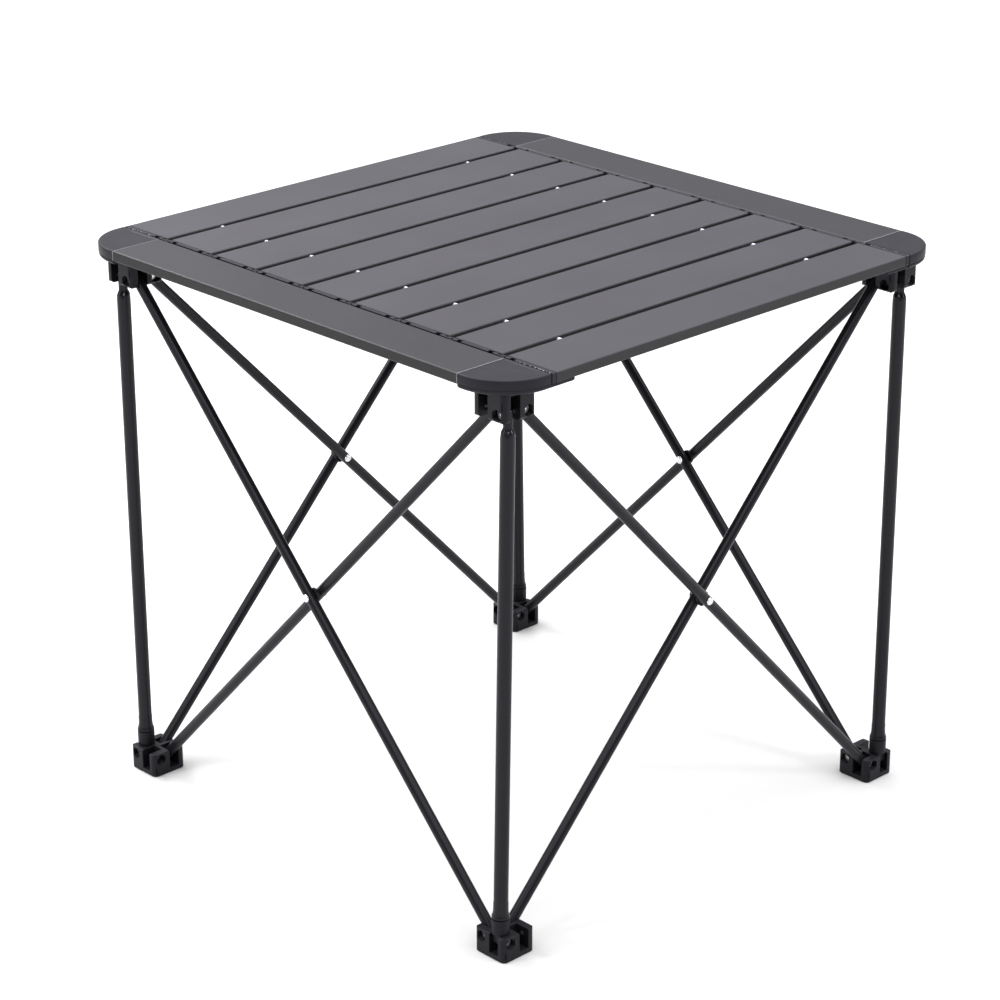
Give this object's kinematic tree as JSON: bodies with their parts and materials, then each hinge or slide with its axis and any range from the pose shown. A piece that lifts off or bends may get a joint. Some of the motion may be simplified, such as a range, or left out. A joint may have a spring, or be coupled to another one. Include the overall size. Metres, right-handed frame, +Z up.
{
  "type": "folding side table",
  "caption": "Low square folding side table with a roll-up slatted top, end rails with round corner caps, and a scissor-bar frame on slim legs.",
  "frame": {"origin": "bottom centre of the open table, on the floor", "axes": "+X along the slats, +Y along the end rails, +Z up"},
  "size_m": [0.5566, 0.5566, 0.534],
  "materials": {
    "slat_metal": "dark grey anodised, fine satin grain",
    "rail_metal": "dark grey anodised, fine satin grain",
    "end_cap_plastic": "dark moulded nylon",
    "cap_plastic": "grey moulded nylon with a fine texture",
    "hub_plastic": "near-black glass-filled nylon",
    "bar_tube": "charcoal powder coat, satin",
    "leg_tube": "charcoal powder coat, satin",
    "pin_steel": "bare metal rivets, with a black nylon washer at the bar crossings",
    "cord_elastic": "white braided elastic"
  },
  "bodies": {
    "front_foot": {"front_foot_hub": "hub_plastic", "front_foot_pins": "pin_steel"},
    "front_top": {"front_top_hub": "hub_plastic", "front_top_pins": "pin_steel", "front_leg": "leg_tube"},
    "front_outer_bar": {"front_outer_bar": "bar_tube", "front_left_pivot": "pin_steel"},
    "front_inner_bar": {"front_inner_bar": "bar_tube"},
    "right_foot": {"right_foot_hub": "hub_plastic", "right_foot_pins": "pin_steel"},
    "right_top": {"right_top_hub": "hub_plastic", "right_top_pins": "pin_steel", "right_leg": "leg_tube"},
    "right_outer_bar": {"right_outer_bar": "bar_tube", "front_right_pivot": "pin_steel"},
    "right_inner_bar": {"right_inner_bar": "bar_tube"},
    "back_foot": {"back_foot_hub": "hub_plastic", "back_foot_pins": "pin_steel"},
    "back_top": {"back_top_hub": "hub_plastic", "back_top_pins": "pin_steel", "back_leg": "leg_tube"},
    "back_outer_bar": {"back_outer_bar": "bar_tube", "back_right_pivot": "pin_steel"},
    "back_inner_bar": {"back_inner_bar": "bar_tube"},
    "left_foot": {"left_foot_hub": "hub_plastic", "left_foot_pins": "pin_steel"},
    "left_top": {"left_top_hub": "hub_plastic", "left_top_pins": "pin_steel", "left_leg": "leg_tube"},
    "left_outer_bar": {"left_outer_bar": "bar_tube", "back_left_pivot": "pin_steel"},
    "left_inner_bar": {"left_inner_bar": "bar_tube"},
    "tabletop": {"left_rail": "rail_metal", "right_rail": "rail_metal", "front_corner_cap": "cap_plastic", "right_corner_cap": "cap_plastic", "back_corner_cap": "cap_plastic", "left_corner_cap": "cap_plastic"},
    "slat_1": {"slat_1": "slat_metal", "slat_1_end_caps": "end_cap_plastic", "shock_cords": "cord_elastic"},
    "slat_2": {"slat_2": "slat_metal", "slat_2_end_caps": "end_cap_plastic"},
    "slat_3": {"slat_3": "slat_metal", "slat_3_end_caps": "end_cap_plastic"},
    "slat_4": {"slat_4": "slat_metal", "slat_4_end_caps": "end_cap_plastic"},
    "slat_5": {"slat_5": "slat_metal", "slat_5_end_caps": "end_cap_plastic"},
    "slat_6": {"slat_6": "slat_metal", "slat_6_end_caps": "end_cap_plastic"},
    "slat_7": {"slat_7": "slat_metal", "slat_7_end_caps": "end_cap_plastic"},
    "slat_8": {"slat_8": "slat_metal", "slat_8_end_caps": "end_cap_plastic"},
    "slat_9": {"slat_9": "slat_metal", "slat_9_end_caps": "end_cap_plastic"}
  },
  "joints": [
    {"name": "frame_fold", "type": "hinge", "parent": "front_foot", "child": "front_outer_bar", "pos_m": [-0.24725, -0.23175, 0.017], "axis": [1, 0, 0], "range_deg": [0, 41]},
    {"name": "left_top_level", "type": "hinge", "parent": "front_outer_bar", "child": "left_top", "pos_m": [-0.24725, 0.23175, 0.5], "axis": [1, 0, 0], "range_deg": [-41.5, 0]},
    {"name": "front_left_scissor", "type": "hinge", "parent": "front_outer_bar", "child": "left_inner_bar", "pos_m": [-0.24725, 0, 0.2585], "axis": [1, 0, 0], "range_deg": [-82.5, 0]},
    {"name": "front_top_level", "type": "hinge", "parent": "left_inner_bar", "child": "front_top", "pos_m": [-0.23625, -0.23175, 0.5], "axis": [1, 0, 0], "range_deg": [0, 41.5]},
    {"name": "left_foot_level", "type": "hinge", "parent": "left_inner_bar", "child": "left_foot", "pos_m": [-0.23625, 0.23175, 0.017], "axis": [1, 0, 0], "range_deg": [0, 41.5]},
    {"name": "front_inner_bar_fold", "type": "hinge", "parent": "front_foot", "child": "front_inner_bar", "pos_m": [-0.23175, -0.23625, 0.017], "axis": [0, -1, 0], "range_deg": [0, 41.5]},
    {"name": "right_top_level", "type": "hinge", "parent": "front_inner_bar", "child": "right_top", "pos_m": [0.23175, -0.23625, 0.5], "axis": [0, -1, 0], "range_deg": [-41.5, 0]},
    {"name": "front_right_scissor", "type": "hinge", "parent": "front_inner_bar", "child": "right_outer_bar", "pos_m": [0, -0.23625, 0.2585], "axis": [0, -1, 0], "range_deg": [-82.5, 0]},
    {"name": "right_foot_level", "type": "hinge", "parent": "right_outer_bar", "child": "right_foot", "pos_m": [0.23175, -0.24725, 0.017], "axis": [0, -1, 0], "range_deg": [0, 41.5]},
    {"name": "left_outer_bar_fold", "type": "hinge", "parent": "left_foot", "child": "left_outer_bar", "pos_m": [-0.23175, 0.24725, 0.017], "axis": [0, -1, 0], "range_deg": [0, 41.5]},
    {"name": "back_top_level", "type": "hinge", "parent": "left_outer_bar", "child": "back_top", "pos_m": [0.23175, 0.24725, 0.5], "axis": [0, -1, 0], "range_deg": [-41.5, 0]},
    {"name": "back_left_scissor", "type": "hinge", "parent": "left_outer_bar", "child": "back_inner_bar", "pos_m": [0, 0.24725, 0.2585], "axis": [0, -1, 0], "range_deg": [-82.5, 0]},
    {"name": "back_foot_level", "type": "hinge", "parent": "back_inner_bar", "child": "back_foot", "pos_m": [0.23175, 0.23625, 0.017], "axis": [0, -1, 0], "range_deg": [0, 41.5]},
    {"name": "right_inner_bar_fold", "type": "hinge", "parent": "right_foot", "child": "right_inner_bar", "pos_m": [0.23625, -0.23175, 0.017], "axis": [1, 0, 0], "range_deg": [0, 41.5]},
    {"name": "back_right_scissor", "type": "hinge", "parent": "right_inner_bar", "child": "back_outer_bar", "pos_m": [0.23625, 0, 0.2585], "axis": [1, 0, 0], "range_deg": [-82.5, 0]},
    {"name": "top_lift", "type": "slide", "parent": "front_top", "child": "tabletop", "axis": [0, 0, 1], "range_m": [0, 0.26]},
    {"name": "slat_mat_lift", "type": "slide", "parent": "tabletop", "child": "slat_1", "axis": [0, 0, 1], "range_m": [0, 0.1]},
    {"name": "slat_1_2_hinge", "type": "hinge", "parent": "slat_1", "child": "slat_2", "pos_m": [0, -0.21875, 0.5292], "axis": [1, 0, 0], "range_deg": [0, 40], "deforming": ["shock_cords"]},
    {"name": "slat_2_3_hinge", "type": "hinge", "parent": "slat_2", "child": "slat_3", "pos_m": [0, -0.15625, 0.5292], "axis": [1, 0, 0], "range_deg": [0, 40], "deforming": ["shock_cords"]},
    {"name": "slat_3_4_hinge", "type": "hinge", "parent": "slat_3", "child": "slat_4", "pos_m": [0, -0.09375, 0.5292], "axis": [1, 0, 0], "range_deg": [0, 40], "deforming": ["shock_cords"]},
    {"name": "slat_4_5_hinge", "type": "hinge", "parent": "slat_4", "child": "slat_5", "pos_m": [0, -0.03125, 0.5292], "axis": [1, 0, 0], "range_deg": [0, 40], "deforming": ["shock_cords"]},
    {"name": "slat_5_6_hinge", "type": "hinge", "parent": "slat_5", "child": "slat_6", "pos_m": [0, 0.03125, 0.5292], "axis": [1, 0, 0], "range_deg": [0, 40], "deforming": ["shock_cords"]},
    {"name": "slat_6_7_hinge", "type": "hinge", "parent": "slat_6", "child": "slat_7", "pos_m": [0, 0.09375, 0.5292], "axis": [1, 0, 0], "range_deg": [0, 40], "deforming": ["shock_cords"]},
    {"name": "slat_7_8_hinge", "type": "hinge", "parent": "slat_7", "child": "slat_8", "pos_m": [0, 0.15625, 0.5292], "axis": [1, 0, 0], "range_deg": [0, 40], "deforming": ["shock_cords"]},
    {"name": "slat_8_9_hinge", "type": "hinge", "parent": "slat_8", "child": "slat_9", "pos_m": [0, 0.21875, 0.5292], "axis": [1, 0, 0], "range_deg": [0, 40], "deforming": ["shock_cords"]}
  ],
  "couplings": [
    {"joint": "left_top_level", "follows": "frame_fold", "ratio": -1},
    {"joint": "front_left_scissor", "follows": "frame_fold", "ratio": -2},
    {"joint": "front_top_level", "follows": "frame_fold", "ratio": 1},
    {"joint": "left_foot_level", "follows": "frame_fold", "ratio": 1},
    {"joint": "front_inner_bar_fold", "follows": "frame_fold", "ratio": 1},
    {"joint": "right_top_level", "follows": "frame_fold", "ratio": -1},
    {"joint": "front_right_scissor", "follows": "frame_fold", "ratio": -2},
    {"joint": "right_foot_level", "follows": "frame_fold", "ratio": 1},
    {"joint": "left_outer_bar_fold", "follows": "frame_fold", "ratio": 1},
    {"joint": "back_top_level", "follows": "frame_fold", "ratio": -1},
    {"joint": "back_left_scissor", "follows": "frame_fold", "ratio": -2},
    {"joint": "back_foot_level", "follows": "frame_fold", "ratio": 1},
    {"joint": "right_inner_bar_fold", "follows": "frame_fold", "ratio": 1},
    {"joint": "back_right_scissor", "follows": "frame_fold", "ratio": -2},
    {"joint": "top_lift", "follows": "frame_fold", "m_per_rad": 0.35}
  ]
}
